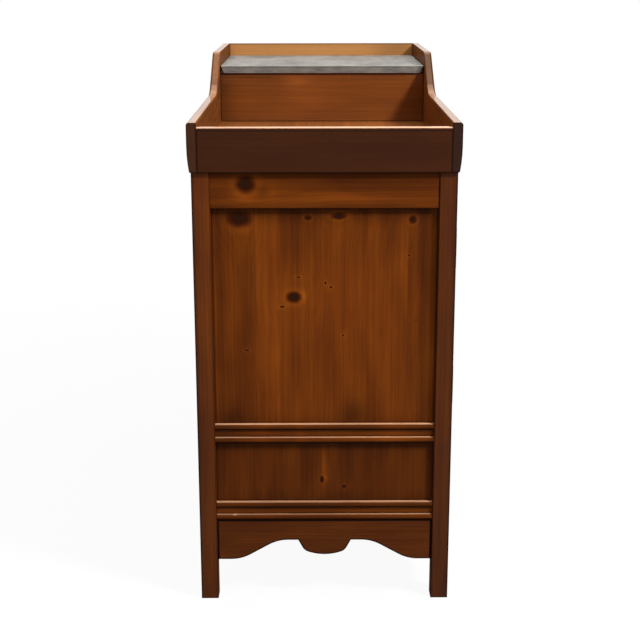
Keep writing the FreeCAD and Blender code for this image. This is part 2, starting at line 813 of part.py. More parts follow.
save("small_drawer_runners", small_runner(small_x0, -1), small_runner(small_x1, 1))
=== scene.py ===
# Dry sink cabinet: finishes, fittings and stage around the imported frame.
# The low well lies towards -X, the raised slate shelf towards +X, and the doors
# face -Y.  Places are in metres unless a name ends in _mm.
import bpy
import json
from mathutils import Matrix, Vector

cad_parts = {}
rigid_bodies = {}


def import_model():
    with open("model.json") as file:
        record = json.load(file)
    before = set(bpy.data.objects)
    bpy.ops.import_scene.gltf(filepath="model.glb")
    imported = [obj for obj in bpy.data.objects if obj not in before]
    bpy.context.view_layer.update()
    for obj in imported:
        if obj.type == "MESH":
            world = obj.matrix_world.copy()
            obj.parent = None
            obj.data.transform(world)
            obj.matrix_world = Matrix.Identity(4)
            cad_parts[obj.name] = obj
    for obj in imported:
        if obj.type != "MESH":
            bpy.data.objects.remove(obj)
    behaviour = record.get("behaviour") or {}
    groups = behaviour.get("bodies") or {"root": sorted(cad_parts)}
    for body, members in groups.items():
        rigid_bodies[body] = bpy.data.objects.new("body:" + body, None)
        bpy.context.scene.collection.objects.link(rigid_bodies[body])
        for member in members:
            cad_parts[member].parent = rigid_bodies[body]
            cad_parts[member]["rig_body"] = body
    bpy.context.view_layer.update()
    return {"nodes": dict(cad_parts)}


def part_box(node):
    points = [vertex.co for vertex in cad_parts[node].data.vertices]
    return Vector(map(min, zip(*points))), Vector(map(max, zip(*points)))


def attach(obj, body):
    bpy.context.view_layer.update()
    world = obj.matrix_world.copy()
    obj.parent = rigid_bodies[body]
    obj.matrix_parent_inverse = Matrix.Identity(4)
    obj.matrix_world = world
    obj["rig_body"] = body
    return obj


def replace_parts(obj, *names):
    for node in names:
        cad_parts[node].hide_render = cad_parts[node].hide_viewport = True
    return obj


bl_info = {
    "name": "Dry Sink Cabinet",
    "version": (1, 0, 0),
    "blender": (4, 5, 0),
    "location": "3D View > Sidebar > Dry Sink",
    "description": "Dresses a panelled pine dry sink with stain, slate, brass and small fastenings",
    "category": "Add Mesh",
}

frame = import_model()

import json
import math
import random
from collections import namedtuple

import bmesh
import bpy
from bpy.props import FloatProperty, FloatVectorProperty, PointerProperty
from mathutils import Matrix, Vector

NODES = frame["nodes"]
MM = 0.001
AXES = "XYZ"

# places on a board's face, in millimetres: a knot by its centre and half sizes, a soft
# shade (light where its depth is negative), a glued strip by where it starts; some shades
# are the wood's own tone, some are painted shade, painted shadow or painted light
Knot = namedtuple("Knot", "across along wide tall")
Shade = namedtuple("Shade", "across along wide tall depth")
Strip = namedtuple("Strip", "start tone")


# ---- settings that a user would change ------------------------------------------------
def colour(name, description, default):
    return FloatVectorProperty(name=name, description=description, default=default,
                               subtype="COLOR", size=3, min=0.0, max=1.0)


def length(name, description, default):
    return FloatProperty(name=name, description=description, default=default,
                         min=0.0, unit="LENGTH", precision=5)


def amount(name, description, default, most=1.0):
    return FloatProperty(name=name, description=description, default=default, min=0.0, max=most)


def angle(name, description, degrees):
    return FloatProperty(name=name, description=description, default=math.radians(degrees),
                         subtype="ANGLE")


def power(name, description, default):
    return FloatProperty(name=name, description=description, default=default, unit="POWER")


class DrySinkStain(bpy.types.PropertyGroup):
    amber: colour("Amber", "Palest tone of the stained pine", (0.262, 0.060, 0.0035))
    umber: colour("Umber", "Deepest tone of the stained pine", (0.118, 0.0225, 0.0020))
    latewood: colour("Latewood", "Dark line at the end of each year's growth",
                     (0.075, 0.013, 0.002))
    knot_heart: colour("Knot heart", "Middle of a knot", (0.027, 0.0086, 0.0034))
    knot_rim: colour("Knot rim", "Red resin round a knot", (0.042, 0.0068, 0.0012))
    # the glaze colour is stain gathered in joints, and also painted shade on undersides, in
    # recessed corners and in the quirks beside beads
    glaze_and_shade: colour("Glaze", "Stain that has gathered in corners and along joints",
                  (0.014, 0.0045, 0.0025))
    # the paler colour: stain wiped paler; on inner faces it also stands in for a painted sheen, and
    # on the raised end's board for painted light
    faded: colour("Faded", "Stained pine that has been wiped paler", (0.50, 0.25, 0.085))
    # the rubbing colour: stain worn paler on rims and bead tops, and also a painted highlight there
    rubbed: colour("Rubbed", "Stain rubbed thin on rims and bead tops", (0.66, 0.34, 0.18))
    # a lift of wax haze over all stained wood, which also stands in for a painted sheen on every
    # face
    haze_and_sheen: colour("Haze", "Bloom of old wax over the stain", (0.30, 0.33, 0.30))
    bloom_and_sheen: amount("Bloom", "Share of the haze over the stain", 0.0075)
    raw_pale: colour("Raw pine", "Unstained pine inside the case", (0.56, 0.36, 0.16))
    raw_deep: colour("Raw pine shade", "Darker streaks of the unstained pine", (0.42, 0.24, 0.09))
    raw_late: colour("Raw latewood", "Growth lines of the unstained pine", (0.27, 0.12, 0.04))
    ring: length("Growth ring", "Width of one year's growth", 0.0058)
    grain: amount("Grain", "Contrast of the growth lines", 0.13)
    shine: amount("Shine", "How strongly the varnish reflects on upright faces", 0.03)
    rim_shine: amount("Rim shine", "How strongly it reflects on rims and bead tops", 0.80)
    roughness: amount("Roughness", "Roughness of the stained wood", 0.38)
    polish: amount("Polish", "Roughness of the varnish", 0.16)
    arris: length("Arris", "How far board arrises are eased", 0.0011)


class DrySinkStone(bpy.types.PropertyGroup):
    pale: colour("Pale slate", "Lighter clouds of the slab", (0.212, 0.193, 0.168))
    deep: colour("Deep slate", "Darker clouds of the slab", (0.090, 0.085, 0.074))
    # arrises paled by wear, and also a painted highlight along them
    worn_and_highlit: colour("Worn slate", "Arrises of the slab", (0.34, 0.33, 0.30))
    # grime along the bedding; at the front end the same colour is a painted shadow of the front
    # board
    dirt_and_shadow: colour("Dirt", "Grime along the bedding and at the front end", (0.050, 0.040, 0.030))
    # painted shade on the slab's upright edges
    edge_shade: colour("Dark slate", "Mixed into the slab's edge over the riser", (0.02, 0.02, 0.02))
    roughness: amount("Roughness", "Roughness of the honed slab", 0.50)


class DrySinkMetal(bpy.types.PropertyGroup):
    brass: colour("Brass", "Bare brass of hinges and screws", (0.56, 0.37, 0.15))
    patina: colour("Patina", "Aged brass", (0.16, 0.095, 0.04))
    steel: colour("Steel", "Magnets, pins and brads", (0.50, 0.50, 0.49))
    dull_steel: colour("Dull steel", "Worn places of magnets and pins", (0.30, 0.30, 0.30))
    rust: colour("Rust", "Dulled places of the brads", (0.10, 0.07, 0.05))
    screw_radius: length("Screw head", "Radius of a hinge screw's head", 0.0027)
    screw_rise: length("Screw rise", "Height of a screw head over its leaf", 0.0005)
    brad_radius: length("Brad head", "Radius of a back panel brad's head", 0.0015)
    brad_spacing: length("Brad spacing", "Distance between the back panel's brads", 0.095)


class DrySinkStudio(bpy.types.PropertyGroup):
    lens: FloatProperty(name="Lens", description="Focal length", default=73.79, unit="CAMERA")
    look_down: angle("Look down", "Camera pitch below level", 15.026)
    look_aside: angle("Look aside", "Camera turn from the cabinet's length", 0.291)
    tilt: angle("Tilt", "Camera roll", -0.054)
    room: amount("Room light", "Light from all round", 0.19, 5.0)
    key: power("Key power", "Lamp over the front's low end", 112.0)
    fill: power("Fill power", "Soft lamp over the back's low end", 9.0)
    top: power("Top power", "Wide lamp straight above", 62.0)
    floor: colour("Floor", "Pale floor", (0.94, 0.94, 0.94))
    bounce: amount("Bounce", "Share of the floor's colour that lights the cabinet", 0.50)
    shadow: amount("Shadow", "Strength of the cabinet's shadow on the floor", 0.06)
    clear: length("Clear", "Distance from the cabinet where the floor turns plain white", 2.6)


# ---- shader graphs --------------------------------------------------------------------
def adds(operation, reflected=False):
    """A method that adds a Math node, with its sides swapped where it is reflected."""
    def apply(number, *other):
        sides = (*other, number) if reflected else (number, *other)
        return number.finish.maths(operation, *sides)
    return apply


class Number:
    """A value in a material. Python's operators on it add Math nodes."""

    def __init__(self, finish, socket):
        self.finish = finish
        self.socket = socket

    __add__ = adds("ADD")
    __radd__ = adds("ADD", reflected=True)
    __sub__ = adds("SUBTRACT")
    __rsub__ = adds("SUBTRACT", reflected=True)
    __mul__ = adds("MULTIPLY")
    __rmul__ = adds("MULTIPLY", reflected=True)
    __truediv__ = adds("DIVIDE")
    __abs__ = adds("ABSOLUTE")
    most = adds("MAXIMUM")
    least = adds("MINIMUM")
    root = adds("SQRT")


class Finish:
    """A node tree, and the ways in which nodes are added to it."""

    def __init__(self, owner):
        self.owner = owner
        owner.use_nodes = True
        self.tree = owner.node_tree

    def node(self, kind, settings=None, sockets=None):
        made = self.tree.nodes.new("ShaderNode" + kind)
        for setting, value in (settings or {}).items():
            setattr(made, setting, value)
        for socket, value in (sockets or {}).items():
            self.join(made.inputs[socket], value)
        return made

    def join(self, socket, value):
        if isinstance(value, Number):
            value = value.socket
        if isinstance(value, bpy.types.NodeSocket):
            self.tree.links.new(value, socket)
        elif socket.type == "RGBA":
            socket.default_value = (*value, 1.0)
        else:
            socket.default_value = value

    def maths(self, operation, *values):
        made = self.node("Math", {"operation": operation}, dict(enumerate(values)))
        return Number(self, made.outputs[0])

    def smooth(self, value, low, high):
        """0 below low, 1 above high, and an S-curve between."""
        made = self.node("MapRange", {"interpolation_type": "SMOOTHSTEP"},
                         {"Value": value, "From Min": low, "From Max": high})
        return Number(self, made.outputs["Result"])

    def point(self, x, y, z):
        return self.node("CombineXYZ", None, {"X": x, "Y": y, "Z": z}).outputs["Vector"]

    def noise(self, at, detail=2.0, roughness=0.5):
        """Cloud of features one unit wide, from about 0 to about 1."""
        made = self.node("TexNoise", None, {"Vector": at, "Scale": 1.0, "Detail": detail,
                                            "Roughness": roughness})
        return Number(self, made.outputs[0])

    def mix(self, share, first, second):
        """First colour where share is 0, second where it is 1."""
        made = self.node("Mix", {"data_type": "RGBA"}, {0: share, 6: first, 7: second})
        return made.outputs[2]

    def scaled(self, tint, by):
        made = self.node("VectorMath", {"operation": "SCALE"}, {0: tint, "Scale": by})
        return made.outputs[0]

    def places(self):
        """The object's own coordinates in millimetres, by axis."""
        at = self.node("TexCoord").outputs["Object"]
        split = self.node("SeparateXYZ", None, {0: at})
        return {axis: Number(self, split.outputs[axis]) * (1 / MM) for axis in AXES}

    def normal(self, axis):
        split = self.node("SeparateXYZ", None, {0: self.node("TexCoord").outputs["Normal"]})
        return Number(self, split.outputs[axis])

    def facing(self, axis):
        """1 on faces that look along an axis, 0 on the rest."""
        return self.smooth(abs(self.normal(axis)), 0.7, 0.95)

    def spot(self, across, along, place):
        """1 in the middle of an oval place, fading softly outwards."""
        wide = (across - place.across) / place.wide
        tall = (along - place.along) / place.tall
        return self.maths("EXPONENT", (wide * wide + tall * tall) * -1.0)

    def surface(self, colour_socket, roughness, height, depth, **constants):
        """Join colour, roughness and height to the material's shader."""
        shader = self.tree.nodes["Principled BSDF"]
        for name, value in constants.items():
            shader.inputs[name.replace("_", " ")].default_value = value
        self.join(shader.inputs["Base Color"], colour_socket)
        self.join(shader.inputs["Roughness"], roughness)
        bump = self.node("Bump", None, {"Height": height, "Distance": depth})
        self.join(shader.inputs["Normal"], bump.outputs["Normal"])


def arris_wear(finish, at, low, high, reach):
    """1 on a box's arrises, falling to 0 a reach away over its faces."""
    gaps = []
    for axis, start, end in zip(AXES, low, high):
        gaps.append((at[axis] - start / MM).least(end / MM - at[axis]))
    nearer = gaps[0].least(gaps[1])
    farther = gaps[0].most(gaps[1])
    middle = nearer.most(farther.least(gaps[2]))
    return 1 - finish.smooth(middle, 0.0, reach)


FAR_FROM_KNOTS = 9.0            # in knot radii


def knot_marks(finish, across, along, knots, wobble):
    """How far knots push the grain aside, distance from them in radii, and their glow."""
    push = 0.0
    nearest = FAR_FROM_KNOTS
    glow = 0.0
    for knot in knots:
        side = across - knot.across
        wide = side / knot.wide
        tall = (along - knot.along) / knot.tall
        spread = wide * wide
        reach = spread * 0.10 + tall * tall * 0.045
        near = finish.maths("EXPONENT", reach * -1.0)
        push = side * near * 0.85 + push
        glow = near + glow
        nearest = (spread + tall * tall).root().least(nearest)
    return push, nearest + wobble, glow


def glued(finish, across, strips, chance):
    """Tone of each glued strip, and how far along and across the log it was cut."""
    shifts = [(chance.uniform(-150, 150), chance.uniform(0, 700)) for _ in strips]
    tone = strips[0].tone
    aside, onward = shifts[0]
    for place in range(1, len(strips)):
        over = finish.maths("GREATER_THAN", across, strips[place].start)
        tone = over * (strips[place].tone - strips[place - 1].tone) + tone
        aside = over * (shifts[place][0] - shifts[place - 1][0]) + aside
        onward = over * (shifts[place][1] - shifts[place - 1][1]) + onward
    return tone, aside, onward


def joint_lines(finish, across, lines):
    """1 along the darker lines beside a bead or a joint: stain gathered there, and painted shade in
    the quirks.
    """
    mark = 0.0
    for line in lines:
        mark = (1 - finish.smooth(abs(across - line), 0.4, 1.9)).most(mark)
    return mark


# the wood's features along and across its grain, in millimetres
DRIFT = (420.0, 64.0)
RIPPLE = (95.0, 17.0)
FIBRE = (60.0, 1.3)
STREAK = (520.0, 6.5)
BLOTCH = (190.0, 46.0)
PITH_ASIDE = 40                 # how far the pith lies from a board's middle and its face
PITH_BELOW = (40, 85)
PITH_LEAN = (0.012, 0.03)       # how fast it nears the face along the board

RAW_LATE = 0.42                 # contrast of the growth lines on bare wood
RAW_ROUGHNESS = 0.58
RAW_GLOSS = 0.18
PINE_RELIEF = 0.25 * MM
HALO = 0.24                     # how much paler the wood is round a knot
END_LATE = 0.6                  # share of latewood on end grain
END_BLOOM_AND_SHEEN = 4                   # how many times the wax haze, also a painted sheen, lies on end grain
ARRIS_REACH = 3.2               # glaze along the arrises, in millimetres, and its least share
ARRIS_GLAZE = 0.45
GATHERED_AND_SHADED = 0.85                 # share of glaze, and of painted shade, on undersides and beside joints
LEAN_FULL = 0.35                # how much farther a face leans where that painted underside shade is full
OFF_FACE = (0.972, 0.999)       # how squarely a surface looks along the face, from rim to face


def wood(finish, size, along, across, depth, *fineness):
    """Noise of features stretched along the grain."""
    long, wide = size
    return finish.noise(finish.point(along / long, across / wide, depth / wide), *fineness)


def pine(name, node, grain, face, tone=1.0, raw=False, fade=0.0, knots=(), strips=None, shades=(),
         lines=(), chips=(), border=None, end_tone=1.0, extra_shine=0.0, figure=1.0, rubbed=0.0,
         crown=(0.62, 0.94), under=0.25, rim_glaze_and_shade=0.0, rim_tone=1.0, outside=None):
    """Pine board: growth rings round a pith below its face, knots, glued strips and stain.

    crown is how level a surface is where it begins to shine and where it fully does; there
    the rubbing colour also paints rims and bead tops paler as a painted highlight.  under is
    how far one leans down where glazing and painted underside shade begin to gather.
    rim_glaze_and_shade and rim_tone are the glazing with painted shade, and the tone, on every
    surface that doesn't lie in the board's face.  outside is which way the board's outer face
    looks, and that face's tone, where only the inner one is paled as painted light.
    """
    stain = bpy.context.scene.dry_sink_stain
    pale, deep, late_tint = (
        (stain.raw_pale, stain.raw_deep, stain.raw_late) if raw
        else (stain.amber, stain.umber, stain.latewood))
    chance = random.Random(name)
    low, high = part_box(node)
    width = next(axis for axis in AXES if axis not in (grain, face))
    finish = Finish(bpy.data.materials.new(name))
    at = finish.places()
    along = at[grain]
    across = at[width]
    depth = at[face] - low[AXES.index(face)] / MM

    # each glued strip comes from another part of the log
    strip_tone, aside, onward = glued(finish, across, strips or (Strip(0, 1),), chance)
    log_across = across + aside
    log_along = along + onward

    drift = wood(finish, DRIFT, log_along, log_across, depth) - 0.5
    ripple = wood(finish, RIPPLE, log_along, log_across, depth, 1.0) - 0.5
    push, knot_edge, glow = knot_marks(finish, across, along, knots, ripple * 0.5)

    middle = (low[AXES.index(width)] + high[AXES.index(width)]) / 2 / MM
    pith_across = middle + chance.uniform(-PITH_ASIDE, PITH_ASIDE)
    pith_depth = chance.choice((-1, 1)) * chance.uniform(*PITH_BELOW)
    lean = chance.uniform(*PITH_LEAN) * chance.choice((-1, 1))
    off_pith = log_across - push - pith_across + drift * 46.0 + ripple * 2.6
    below = depth - pith_depth + along * lean + drift * 16.0
    from_pith = (off_pith * off_pith + below * below).root()
    year = finish.maths("FRACT", from_pith / (stain.ring / MM))
    late = finish.smooth(year, 0.10, 0.84) * (1 - finish.smooth(year, 0.86, 1.0))

    fibre = wood(finish, FIBRE, along, log_across, depth, 3.0)
    streak = wood(finish, STREAK, log_along, log_across, depth, 2.0)
    blotch = wood(finish, BLOTCH, log_along, log_across, depth, 2.0, 0.55)
    cloudy = (blotch - 0.5) * 0.95 + (streak - 0.5) * 0.60 + glow * 0.14
    tint = finish.mix(finish.smooth(cloudy * figure + 0.5, 0.0, 1.0), deep, pale)
    tint = finish.mix(late * (RAW_LATE if raw else stain.grain * figure), tint, late_tint)
    inner = 1.0
    if outside:
        way, outer_tone = outside
        inner = 1 - finish.smooth(finish.normal(face) * way, 0.3, 0.9)
    # inner faces paled: partly painted sheen, and painted light on the raised end's board
    if fade:
        tint = finish.mix((streak * 0.6 + 0.7) * fade * inner, tint, stain.faded)
    level = (fibre * 0.24 + 0.88) * strip_tone * tone
    if outside:
        level = level * (inner * (1 - outer_tone) + outer_tone)
    for shade in shades:
        level = level * (1 - finish.spot(across, along, shade) * shade.depth)
    if knots:
        halo = finish.smooth(knot_edge, 1.0, 1.5) * (1 - finish.smooth(knot_edge, 1.5, 2.4))
        level = level * (halo * HALO + 1)
    on_face = finish.facing(face)
    if rim_tone != 1.0:
        level = level * (on_face * (1 - rim_tone) + rim_tone)
    tint = finish.scaled(tint, level)
    # wax haze over the stain, also a painted sheen
    if not raw:
        tint = finish.mix(stain.bloom_and_sheen, tint, stain.haze_and_sheen)

    if knots:
        inside = finish.mix(finish.smooth(knot_edge, 0.25, 1.05), stain.knot_heart, stain.knot_rim)
        tint = finish.mix(1 - finish.smooth(knot_edge, 0.62, 1.42), tint, inside)

    end_late = [part * end_tone for part in late_tint]
    end_grain = finish.mix(END_LATE, finish.scaled(tint, end_tone), end_late)
    if not raw:
        end_grain = finish.mix(stain.bloom_and_sheen * END_BLOOM_AND_SHEEN, end_grain, stain.haze_and_sheen)
    tint = finish.mix(finish.facing(grain), tint, end_grain)
    if not raw:
        upward = finish.smooth(finish.normal("Z"), *crown)
        # painted shade on surfaces that lean downwards, mixed in with the glazing
        underside_shade = finish.smooth(finish.normal("Z") * -1.0, under, under + LEAN_FULL)
        arris = arris_wear(finish, at, low, high, ARRIS_REACH)
        glaze_and_shade = arris * (streak * 0.7 + ARRIS_GLAZE) * (1 - upward)
        glaze_and_shade = glaze_and_shade.most(underside_shade * GATHERED_AND_SHADED)
        # glazing and painted shade on every surface out of the board's face, such as an apron's
        # edges
        if rim_glaze_and_shade:
            off_face = 1 - finish.smooth(abs(finish.normal(face)), *OFF_FACE)
            glaze_and_shade = glaze_and_shade.most(off_face * (1 - upward) * rim_glaze_and_shade)
        # darker lines beside beads and joints: stain, and painted shade in the quirks
        if lines:
            glaze_and_shade = glaze_and_shade.most(joint_lines(finish, across, lines) * GATHERED_AND_SHADED)
        # stain and painted shade in the corners round a panel
        if border:
            glaze_and_shade = glaze_and_shade.most(corner_glaze_and_shade(finish, across, along, border, blotch))
        tint = finish.mix(glaze_and_shade, tint, stain.glaze_and_shade)
        # level rims and bead tops painted paler: rubbing wear, and also a painted highlight
        if rubbed:
            tint = finish.mix(upward * (blotch * 0.9 + 0.55) * rubbed, tint, stain.rubbed)
    for chip in chips:
        tint = finish.mix(finish.spot(across, along, chip), tint, stain.rubbed)
    rough = (fibre - 0.5) * 0.14 + late * -0.05 + (RAW_ROUGHNESS if raw else stain.roughness)
    finish.surface(tint, rough, fibre * 0.5 + late * 0.35, PINE_RELIEF,
                   Specular_IOR_Level=RAW_GLOSS if raw else 0.0, Coat_Roughness=stain.polish)
    if not raw:
        upright = on_face * extra_shine + stain.shine
        coat = finish.tree.nodes["Principled BSDF"].inputs["Coat Weight"]
        finish.join(coat, (upward * stain.rim_shine).most((1 - arris) * upright))
    return finish.owner


def corner_glaze_and_shade(finish, across, along, border, blotch):
    """Darkening in the corner between a panel and the frame round it: stain in the joint, and a
    soft band of painted shade.
    """
    left, right, foot, head = border
    gaps = (across - left, right - across, along - foot, head - along)
    nearest = gaps[0]
    for gap in gaps[1:]:
        nearest = nearest.least(gap)
    # soft: a wide band of painted shade where the frame shades the panel; tight: stain in the joint
    soft = 1 - finish.smooth(nearest + (blotch - 0.5) * 26.0, -6.0, 30.0)
    tight = 1 - finish.smooth(nearest, 1.0, 6.0)
    return (soft * 0.22).most(tight * 0.60)


SLAB_FRONT_END = (-219.0, -207.0)       # where the painted shadow at the slab's front end fades, by Y
# share of that painted shadow
SLAB_END_SHADOW = 0.92
# share of painted shade on the slab's upright edges
SLAB_EDGE_SHADE = 0.16
SLATE_RELIEF = 0.5 * MM
METAL_CLOUD = 15.0                      # dulled places of the metal, in millimetres
METAL_RELIEF = 0.08 * MM


def slate():
    """Honed slate, cloudy on top, with grimy bedding lines, arrises paled by wear and as a
    painted highlight, a painted shadow at its front end and painted shade on its upright edges.
    """
    stone = bpy.context.scene.dry_sink_stone
    finish = Finish(bpy.data.materials.new("honed_slate"))
    at = finish.places()
    low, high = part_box("slate_slab")
    cloud = finish.noise(finish.point(at["X"] / 70.0, at["Y"] / 45.0, at["Z"] / 9.0), 5.0, 0.62)
    grit = finish.noise(finish.point(at["X"] / 2.4, at["Y"] / 2.4, at["Z"] / 1.6), 3.0, 0.6)
    cleft = finish.noise(finish.point(at["X"] / 60.0, at["Y"] / 24.0, at["Z"] / 2.2), 4.0, 0.6)
    share = (cloud - 0.5) * 2.4 + (cleft - 0.5) * 1.1 + (grit - 0.5) * 0.5 + 0.5
    tint = finish.mix(finish.smooth(share, 0.0, 1.0), stone.deep, stone.pale)
    # paler arrises: wear, and also a painted highlight
    worn_and_highlit = arris_wear(finish, at, low, high, 2.5) * grit
    tint = finish.mix(worn_and_highlit, tint, stone.worn_and_highlit)
    below_top = high.z / MM - at["Z"]
    bedding = finish.smooth(below_top, 1.6, 2.6) * (1 - finish.smooth(below_top, 3.0, 4.6))
    # painted shadow of the front board on the slab's upright edge at its front end
    front_end_shadow = 1 - finish.smooth(at["Y"], *SLAB_FRONT_END)
    dirt_and_shadow = (bedding * (cleft * 1.1)).most(front_end_shadow * finish.facing("X") * SLAB_END_SHADOW)
    tint = finish.mix(dirt_and_shadow, tint, stone.dirt_and_shadow)
    # painted shade on the slab's upright edges
    tint = finish.mix(finish.facing("X") * SLAB_EDGE_SHADE, tint, stone.edge_shade)
    finish.surface(tint, grit * 0.2 + (stone.roughness - 0.1), grit * 0.3 + cleft * 0.7,
                   SLATE_RELIEF, Specular_IOR_Level=0.5)
    return finish.owner


def metal(name, bare, aged, roughness, brushed=None):
    """Metal with its bright and its dulled places, and brush lines along one axis."""
    finish = Finish(bpy.data.materials.new(name))
    at = finish.places()
    dull = finish.noise(finish.point(*[at[axis] / METAL_CLOUD for axis in AXES]), 4.0, 0.5)
    stretch = {axis: 24.0 if axis == brushed else 0.35 for axis in AXES}
    line = finish.noise(finish.point(*[at[axis] / stretch[axis] for axis in AXES]), 2.0)
    tint = finish.mix(finish.smooth(dull + (line - 0.5) * 0.3, 0.22, 0.86), bare, aged)
    finish.surface(tint, dull * 0.25 + line * 0.1 + (roughness - 0.15), line * 0.3 + dull * 0.2,
                   METAL_RELIEF, Metallic=1.0)
    return finish.owner


# ---- meshes ---------------------------------------------------------------------------
WELD = 0.00001                  # corners closer than this are one
FLAT = math.radians(0.5)
SHARP = math.radians(35.0)


def mesh_of(name, bm):
    """A mesh from a bmesh, which is freed."""
    mesh = bpy.data.meshes.new(name)
    bm.to_mesh(mesh)
    bm.free()
    return mesh


def placed(name, data):
    """A new object in the scene."""
    made = bpy.data.objects.new(name, data)
    bpy.context.scene.collection.objects.link(made)
    return made


def paint(piece, material):
    """Give every slot of a piece one material."""
    if not piece.material_slots:
        piece.data.materials.append(material)
    for slot in piece.material_slots:
        slot.material = material


def finished(name, bm, material, body, closed=True):
    """A finished piece from a bmesh: smooth where it curves, riding on a body."""
    if closed:
        bmesh.ops.recalc_face_normals(bm, faces=bm.faces)
    for polygon in bm.faces:
        polygon.smooth = True
    mesh = mesh_of(name, bm)
    mesh.set_sharp_from_angle(angle=SHARP)
    piece = placed(name, mesh)
    paint(piece, material)
    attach(piece, body)
    return piece


def even_normals(piece):
    """Keep flat faces flat beside the rounded arrises."""
    even = piece.modifiers.new("Even normals", "WEIGHTED_NORMAL")
    even.keep_sharp = True


def dressed(node, grain, face, **look):
    """A CAD node that keeps its own shape gets its pine."""
    paint(NODES[node], pine(node + "_pine", node, grain, face, **look))


def eased(node, grain, face, ease=1.0, **look):
    """A copy of a CAD board with its face arrises eased takes the node's place."""
    low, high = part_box(node)
    axis = AXES.index(face)
    planes = (low[axis], high[axis])
    bm = bmesh.new()
    bm.from_mesh(NODES[node].data)
    bmesh.ops.remove_doubles(bm, verts=bm.verts, dist=WELD)
    bmesh.ops.dissolve_limit(bm, angle_limit=FLAT, verts=bm.verts, edges=bm.edges)
    arrises = []
    for edge in bm.edges:
        in_face = any(all(abs(corner.co[axis] - plane) < WELD for corner in edge.verts)
                      for plane in planes)
        if in_face and edge.is_manifold and edge.is_convex and edge.calc_face_angle() > SHARP:
            arrises.append(edge)
    bmesh.ops.bevel(bm, geom=arrises, offset=bpy.context.scene.dry_sink_stain.arris * ease,
                    offset_type="OFFSET", affect="EDGES", segments=3, profile=0.5, material=-1)
    material = pine(node + "_pine", node, grain, face, **look)
    piece = finished(node + "_board", bm, material, NODES[node]["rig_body"],
                     closed=False)
    even_normals(piece)
    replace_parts(piece, node)
    return piece


# ---- the pieces, one operator for each group ------------------------------------------
class DressOperator:
    bl_options = {"REGISTER", "UNDO"}

    def execute(self, context):
        self.dress(context)
        return {"FINISHED"}


def scattered_knots(name, count, across, along):
    """A few knots of mixed sizes over a face, the same on every run."""
    chance = random.Random(name)
    knots = []
    for _ in range(count):
        wide = chance.uniform(2.5, 9.0)
        knots.append(Knot(chance.uniform(*across), chance.uniform(*along),
                          wide, wide * chance.uniform(0.7, 1.0)))
    return knots


def uneven_strips(name, low, high, count):
    """Glued strips of mixed widths and tones across a panel, the same on every run."""
    chance = random.Random(name)
    wide = (high - low) / count
    return [Strip(low + place * wide + chance.uniform(-0.3, 0.3) * wide,
                  chance.uniform(0.84, 1.14)) for place in range(count)]


ALL = 9999.0             # a shade this wide crosses the whole face
# darker towards the foot of each post
FOOT_SHADE = (Shade(0, 60, ALL, 330, 0.20),)
# darker along the post's outer arris
FRONT_POST_SHADES = (*FOOT_SHADE, Shade(-239, 400, 3.6, ALL, 0.75))
BACK_POST_SHADES = (
    *FOOT_SHADE,
    # darker along the outer arris, a lighter strip by the inner arris high up, and a faint darker
    # band
    Shade(239, 400, 3.6, ALL, 0.60),
    Shade(210, 620, 8, 240, -0.28),
    Shade(234, 400, 7, ALL, 0.12),
)


class DRYSINK_OT_posts(DressOperator, bpy.types.Operator):
    """Stain the four corner posts"""
    bl_idname = "drysink.posts"
    bl_label = "Posts"

    def dress(self, context):
        dressed("post_front_left", "Z", "X", tone=0.50, shades=FRONT_POST_SHADES, extra_shine=0.11)
        dressed("post_back_left", "Z", "X", tone=0.68, shades=BACK_POST_SHADES, extra_shine=0.09)
        dressed("post_front_right", "Z", "X", tone=0.82, shades=FOOT_SHADE)
        dressed("post_back_right", "Z", "X", tone=0.84, shades=FOOT_SHADE)


RAIL_KNOTS = (Knot(812, 141.5, 15, 15.5),)
RAIL_SHADES = (
    Shade(786, -45, 8, 110, -0.55),
    Shade(791, -20, 4, 55, -0.22),
    Shade(789, 150, 8, 26, -0.55),
    Shade(781, 130, 5, 40, -0.25),
    Shade(797, 96, 13, 12, -0.25),
    Shade(800, 110, 9, 9, 0.22),
    Shade(814, -60, 13, 150, 0.24),
    Shade(771.5, -50, 1.8, 120, 0.10),
    Shade(771, 190, 2.4, 30, 0.40),
    # painted shadow of the tray's overhanging skirt along the rail's top
    Shade(835.5, 0, 6.8, ALL, 0.70),
)
UPPER_KNOTS = (
    Knot(154.7, 748, 19, 14.5),
    Knot(56.1, 601.1, 12.5, 9.5),
    Knot(29.8, 749.2, 6, 4.5),
    Knot(-26.2, 752, 12, 5.5),
    Knot(-160.2, 745.2, 6.5, 7),
    Knot(47.6, 638.8, 3.6, 1.5),
    Knot(-1.8, 628, 1.8, 2.8),
    Knot(-11.9, 619.8, 2.8, 2.2),
    Knot(-154.1, 679.5, 3.2, 1.3),
    Knot(144, 499.8, 4, 1.6),
    Knot(-34.3, 528.3, 2.2, 1.8),
    Knot(78, 583, 4.2, 1.8),
)
UPPER_STRIPS = (Strip(-206, 0.88), Strip(-151.8, 1.02), Strip(-78.2, 0.98), Strip(81.8, 1.12),
                Strip(126, 0.90))
